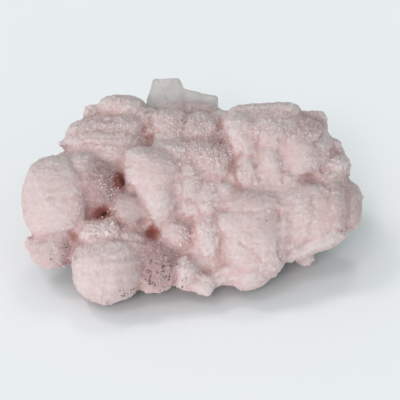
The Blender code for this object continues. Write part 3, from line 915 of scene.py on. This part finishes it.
# %% Build the tree
def coat_tree(name, density_attribute, shape):
    """Scatters shape over the crust, as thick as the attribute says, between two values of X."""
    tree = bpy.data.node_groups.new(name, "GeometryNodeTree")
    face = tree.interface
    face.new_socket("Crust", in_out="INPUT", socket_type="NodeSocketGeometry")
    for label, kind in COAT_INPUTS.items():
        face.new_socket(label, in_out="INPUT", socket_type=kind)
    face.new_socket("Crystals", in_out="OUTPUT", socket_type="NodeSocketGeometry")
    group = tree.nodes.new("NodeGroupInput")
    given = {socket.name: Wire(socket) for socket in group.outputs if socket.name}

    share = named_value(tree, density_attribute)
    scattered = {
        "Mesh": given["Crust"],
        "Distance Min": given["Spacing"],
        "Density Max": given["Densest"],
        "Density Factor": share,
        "Seed": given["Seed"],
    }
    apart = {"distribute_method": "POISSON"}
    points = add_node(tree, "GeometryNodeDistributePointsOnFaces", apart, scattered)
    ground = Wire(points.socket.node.outputs["Normal"])
    upright = Wire(points.socket.node.outputs["Rotation"])
    here = add_node(tree, "GeometryNodeInputPosition")
    x = here.node("ShaderNodeSeparateXYZ", {}, {0: here})
    inside = x.maths("GREATER_THAN", given["From X"]) * x.maths("LESS_THAN", given["To X"])

    turns = {0: (-1, -1, -math.pi), 1: (1, 1, math.pi), 8: given["Seed"] + 5}
    lean = add_node(tree, "FunctionNodeRandomValue", {"data_type": "FLOAT_VECTOR"}, turns)
    most = {"X": given["Lean"], "Y": given["Lean"], "Z": 1.0}
    lean_most = add_node(tree, "ShaderNodeCombineXYZ", {}, most)
    leant = lean.node("ShaderNodeVectorMath", {"operation": "MULTIPLY"}, {0: lean, 1: lean_most})
    turn = leant.node("FunctionNodeEulerToRotation", {}, {0: leant})
    both = {"Rotation": upright, "Rotate By": turn}
    turned = upright.node("FunctionNodeRotateRotation", {"rotation_space": "LOCAL"}, both)
    chance = random_value(tree, 0.0, 1.0, given["Seed"] + 1)
    size = given["Smallest"] + chance**SMALL_MANY * (given["Largest"] - given["Smallest"])
    fine_share, coarse_adds = COARSE_SIZES
    size = size * (named_value(tree, "coarse") * coarse_adds + fine_share)
    tall = random_value(tree, given["Flattest"], given["Tallest"], given["Seed"] + 2)
    scale = size.node("ShaderNodeCombineXYZ", {}, {"X": size, "Y": size, "Z": size * tall})
    kept = {"Geometry": points, "Name": "ground", "Value": ground}
    noted = points.node("GeometryNodeStoreNamedAttribute", {"data_type": "FLOAT_VECTOR"}, kept)
    placed = {
        "Points": noted,
        "Selection": inside,
        "Instance": shape(tree),
        "Rotation": turned,
        "Scale": scale,
    }
    crystals = add_node(tree, "GeometryNodeInstanceOnPoints", {}, placed)
    real = crystals.node("GeometryNodeRealizeInstances", {}, {0: crystals})
    finish = {"Geometry": real, "Material": given["Finish"]}
    finished = real.node("GeometryNodeSetMaterial", {}, finish)
    out = tree.nodes.new("NodeGroupOutput")
    tree.links.new(finished.socket, out.inputs[0])
    return tree


print("node trees so far:", len(bpy.data.node_groups))

# %% [markdown]
# ## Softening the facets
# In so small a crystal light spreads before it leaves, so the facets of a druse differ less in brightness
# than dull ones of the same slant. Subsurface light would show that, at the cost of noise. Turning each
# corner's normal part of the way towards the ground's gives the same softness for nothing, and leaves the
# shapes alone. Coarse crystals are turned less than fine ones.

# %% Turn the normals of a piece
def soften_facets(mesh, least, most):
    """Turns each corner's normal towards the ground that its crystal stands on: least where it is coarse."""
    corners = read_all(mesh.loops, "vertex_index", kind=np.int32)
    sides = read_all(mesh.polygons, "loop_total", kind=np.int32)
    coarse = read_all(mesh.attributes["coarse"].data, "value", kind=np.float32)
    ground = read_all(mesh.attributes["ground"].data, "vector", 3, np.float32)[corners]
    own = np.repeat(read_all(mesh.polygons, "normal", 3, np.float32), sides, axis=0)
    share = (most + (least - most) * coarse[corners])[:, None]
    mixed = share * ground + (1 - share) * own
    mixed /= np.maximum(np.linalg.norm(mixed, axis=1), 1e-6)[:, None]
    mesh.attributes.remove(mesh.attributes["ground"])
    mesh.normals_split_custom_set(mixed)


print("normals turn, and no shape changes")

# %% Grow a piece
LEAST_HEIGHT = 0.02 * MM  # what reaches lower is cut off, as by the surface that the specimen rests on


def grow(name, tree, sizes, softened=(0.0, 0.0)):
    """A piece of crystals grown on the crust by the tree, as a plain mesh that rides on the specimen.

    softened is how far the normals turn where the druse is coarse, and where it is fine.
    """
    host = bpy.data.objects.new(name + "_host", crust_mesh)
    scene.collection.objects.link(host)
    growth = host.modifiers.new("growth", "NODES")
    growth.node_group = tree
    for item in tree.interface.items_tree:
        if item.in_out == "INPUT" and item.name in sizes:
            growth[item.identifier] = sizes[item.name]
    mesh = evaluated_mesh(host, name)
    bpy.data.objects.remove(host)
    grown = places_of(mesh)
    grown[:, 2] = np.maximum(grown[:, 2], LEAST_HEIGHT)
    set_places(mesh, grown)
    soften_facets(mesh, *softened)
    piece = bpy.data.objects.new(name, mesh)
    scene.collection.objects.link(piece)
    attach(piece, "root")
    print(f"{name}: {len(mesh.polygons)} faces")


print("nothing that grows reaches lower than", LEAST_HEIGHT, "m")

# %% [markdown]
# ## The druse, the tips and the oxide
# The druse covers everything but the flat underside, as sugar covers a sweet. The glassy tips are fewer and
# stand on the brinks, and the oxide grains sit in their few places. Each kind has its own tree, sizes and
# material, and all of them read the same crust.

# %% Grow the druse, in five stretches along the specimen
DRUSE_STRETCHES = {
    "druse_far_left": (-60, -29),
    "druse_left": (-29, -12),
    "druse_middle": (-12, 6),
    "druse_right": (6, 25),
    "druse_far_right": (25, 60),
}
DRUSE_SOFTENED = (0.3, 0.65)  # coarse, fine
druse_tree = coat_tree("druse", "druse", rhomb)
for name, (low, high) in DRUSE_STRETCHES.items():
    sizes = {
        "Spacing": 0.44 * MM,
        "Densest": 8.0 / MM**2,
        "Smallest": 0.32 * MM,
        "Largest": 0.80 * MM,
        "Flattest": 0.7,
        "Tallest": 1.3,
        "Lean": math.radians(24),
        "From X": low * MM,
        "To X": high * MM,
        "Seed": CHANCE,
        "Finish": druse_material,
    }
    grow(name, druse_tree, sizes, DRUSE_SOFTENED)

# %% Grow the glassy tips and the oxide grains
tip_tree = coat_tree("glassy_tips", "tips", pointed_tip)
grow(
    "glassy_tips",
    tip_tree,
    {
        "Spacing": 0.6 * MM,
        "Densest": 2.0 / MM**2,
        "Smallest": 0.4 * MM,
        "Largest": 0.85 * MM,
        "Flattest": 0.6,
        "Tallest": 1.2,
        "Lean": math.radians(28),
        "From X": -60 * MM,
        "To X": 60 * MM,
        "Seed": CHANCE + 20,
        "Finish": tip_material,
    },
)
oxide_tree = coat_tree("oxide_grains", "oxide", dull_grain)
grow(
    "oxide_grains",
    oxide_tree,
    {
        "Spacing": 0.3 * MM,
        "Densest": 9.0 / MM**2,
        "Smallest": 0.22 * MM,
        "Largest": 0.85 * MM,
        "Flattest": 0.7,
        "Tallest": 1.1,
        "Lean": math.radians(30),
        "From X": -60 * MM,
        "To X": 60 * MM,
        "Seed": CHANCE + 40,
        "Finish": oxide_material,
    },
)

# %% [markdown]
# ## The crust itself
# Under the druse lies the skin that it grew on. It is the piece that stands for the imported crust.

# %% Show the crust
crust_mesh.materials.clear()
crust_mesh.materials.append(skin_material)
for polygon in crust_mesh.polygons:
    polygon.use_smooth = True
crust = bpy.data.objects.new("crust_skin", crust_mesh)
scene.collection.objects.link(crust)
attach(crust, "root")
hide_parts("rhodochrosite_crust")
print("crust:", len(crust_mesh.polygons), "faces")

# %% [markdown]
# ## The grey blade
# A cloudy plate of another crystal, which stands in a slot in the crest. A box would do for its shape, but a
# real plate has growth steps slanting across its faces and small chips along its edges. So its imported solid
# gets a fine skin, eased a little, and that skin is stepped and chipped. Light passes through it, but
# blurred, so its transmission is partial.

# %% Shape the blade
BLADE_VOXEL = 0.3 * MM
EASING_PASSES, EASING = 2, 0.4
STEP_PITCH, STEP_SLANT = 1.7, 0.45  # mm across between steps, and how much of up there is in that
STEP_HEIGHT, CHIP_HEIGHT = 0.07, 0.10  # mm
BLADE_INSET = 0.05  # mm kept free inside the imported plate
blade_mesh = remeshed(merged_copy("grey_blade"), BLADE_VOXEL, "grey_blade_skin")
blade_edges = edges_of(blade_mesh)
blade_places = places_of(blade_mesh)
for _ in range(EASING_PASSES):
    blade_places += EASING * (neighbour_mean(blade_places, blade_edges) - blade_places)
set_places(blade_mesh, blade_places)
blade_where = face_places(blade_places)
slanted = blade_where[:, 0] + STEP_SLANT * blade_where[:, 1]
steps = np.floor(slanted / STEP_PITCH + 0.6 * noise_at(blade_places, 5 * MM, 7)) % 3
blade_rise = STEP_HEIGHT * (steps - 1) + CHIP_HEIGHT * noise_at(blade_places, 1.6 * MM, 8) - BLADE_INSET
blade_places += normals_of(blade_mesh) * blade_rise[:, None] * MM
set_places(blade_mesh, blade_places)
print("blade:", len(blade_mesh.polygons), "faces")

# %% Finish the blade
CLOUD_COLOURS = (0.35, (0.66, 0.56, 0.55)), (0.68, (0.80, 0.71, 0.70))
blade_material = new_material(
    "cloudy_grey_crystal",
    {"IOR": 1.55, "Transmission Weight": 0.5},
    lambda tree: grain_noise(tree, 3 * MM).ramp(*CLOUD_COLOURS),
    lambda tree: grain_noise(tree, 1.2 * MM) * 0.3 + 0.3,
    bump=(lambda tree: grain_noise(tree, 0.6 * MM, 2.0), 0.35, 0.1 * MM),
)
blade_mesh.materials.clear()
blade_mesh.materials.append(blade_material)
blade = bpy.data.objects.new("grey_blade_skin", blade_mesh)
scene.collection.objects.link(blade)
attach(blade, "root")
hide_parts("grey_blade")
print("blade material:", blade_material.name)

# %% [markdown]
# ## Floor
# The specimen rests on a plain pale sheet. Such a sheet often sweeps up behind a thing, but this camera looks
# down so far that a flat one fills the view. It is tinted a little, so that under the sky and the lights it
# comes out an even pale grey.

# %% Floor
FLOOR_SIDE = 4.0
FLOOR_COLOUR = (0.625, 0.655, 0.667)
floor_mesh = bpy.data.meshes.new("floor")
half = FLOOR_SIDE / 2
corners = [(-half, -half, 0), (half, -half, 0), (half, half, 0), (-half, half, 0)]
floor_mesh.from_pydata(corners, [], [(0, 1, 2, 3)])
floor_material = new_material(
    "pale_floor",
    {"IOR": 1.4, "Specular IOR Level": 0.2},
    FLOOR_COLOUR,
    lambda tree: grain_noise(tree, 30 * MM) * 0.1 + 0.7,
)
floor_mesh.materials.append(floor_material)
floor = bpy.data.objects.new("floor", floor_mesh)
scene.collection.objects.link(floor)
floor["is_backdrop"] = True
print("floor:", FLOOR_SIDE, "m a side")

# %% [markdown]
# ## Sky
# The sky does most of the lighting: pale, a little bluish, and brightest low at the front left, as under a
# large window. A panorama of a real room could stand for it, but one slope of brightness is enough for a
# dull thing, and it can be read and changed.

# %% Sky
SKY_COLOUR = (0.85, 1.0, 0.99)
SKY_STRENGTH, SKY_SLOPE = 0.83, 0.45  # even strength, and how much of it comes and goes across the sky
BRIGHT_SIDE = Vector((-0.62, -0.78, 0.1)).normalized()  # the sky is brightest towards the front left

world = bpy.data.worlds.new("sky")
world.use_nodes = True
sky = world.node_tree
sky.nodes.clear()
seen_way = add_node(sky, "ShaderNodeTexCoord", output="Generated")
both_ways = {0: seen_way, 1: BRIGHT_SIDE}
towards = seen_way.node("ShaderNodeVectorMath", {"operation": "DOT_PRODUCT"}, both_ways, "Value")
strength = (towards * SKY_SLOPE + 1.0) * SKY_STRENGTH
background = towards.node("ShaderNodeBackground", {}, {"Color": SKY_COLOUR, "Strength": strength})
background.node("ShaderNodeOutputWorld", {}, {"Surface": background})
scene.world = world
scene.view_settings.view_transform = "Standard"
print("sky strength:", SKY_STRENGTH)

# %% [markdown]
# ## Lights
# A broad soft light in front shows the druse, and falls on the specimen alone. A sky by itself leaves a
# shadow with no shape, so four far, soft lights fall on the floor alone, mostly from the left, and draw a
# short shadow below the specimen and to its right. One light for both would be simpler, but then neither the
# specimen's shading nor its shadow could be set without the other. Light linking says what each one falls on.

# %% Helpers for lights
def soft_box(name, place, side, power, colour):
    """A square light at place, facing the specimen."""
    data = bpy.data.lights.new(name, "AREA")
    data.shape = "SQUARE"
    data.size = side
    data.energy = power
    data.color = colour
    lamp = bpy.data.objects.new(name, data)
    lamp.location = place
    lamp.rotation_euler = (Vector(FACE_MIDDLE) - Vector(place)).to_track_quat("-Z", "Y").to_euler()
    scene.collection.objects.link(lamp)
    return lamp


def only_for(lamp, name, lit):
    """The lamp shines on these objects alone, though anything may still shade them."""
    chosen = bpy.data.collections.new(name)
    for obj in lit:
        chosen.objects.link(obj)
    lamp.light_linking.receiver_collection = chosen


def floor_sun(name, way, energy, spread, colour):
    """A far light that shines this way, on the floor alone."""
    data = bpy.data.lights.new(name, "SUN")
    data.energy = energy
    data.angle = math.radians(spread)
    data.color = colour
    lamp = bpy.data.objects.new(name, data)
    lamp.rotation_euler = Vector(way).to_track_quat("-Z", "Y").to_euler()
    scene.collection.objects.link(lamp)
    only_for(lamp, name + "_floor", [floor])


# %% Lights
SUN_TINT = (1.0, 0.788, 0.811)  # the floor, the bluish sky and these lights together come out pale
FLOOR_SUNS = {
    # name: (the way it shines, its strength, how wide it looks in degrees)
    "near_sun": ((0.209, 0.781, -0.588), 0.841, 14),
    "high_sun": ((0.258, 0.429, -0.866), 0.45, 14),
    "left_sun": ((0.489, -0.104, -0.866), 0.66, 14),
    "back_sun": ((-0.08, -0.4, -0.9), 0.37, 12),
}
FRONT_PLACE, FRONT_SIDE, FRONT_POWER = (-0.42, -0.9, 0.16), 0.8, 6.0  # metres, metres and watts
FRONT_TINT = (1.0, 0.93, 0.92)

front_light = soft_box("front_light", FRONT_PLACE, FRONT_SIDE, FRONT_POWER, FRONT_TINT)
only_for(front_light, "specimen_only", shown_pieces())
for name, (way, energy, spread) in FLOOR_SUNS.items():
    floor_sun(name, way, energy, spread, SUN_TINT)
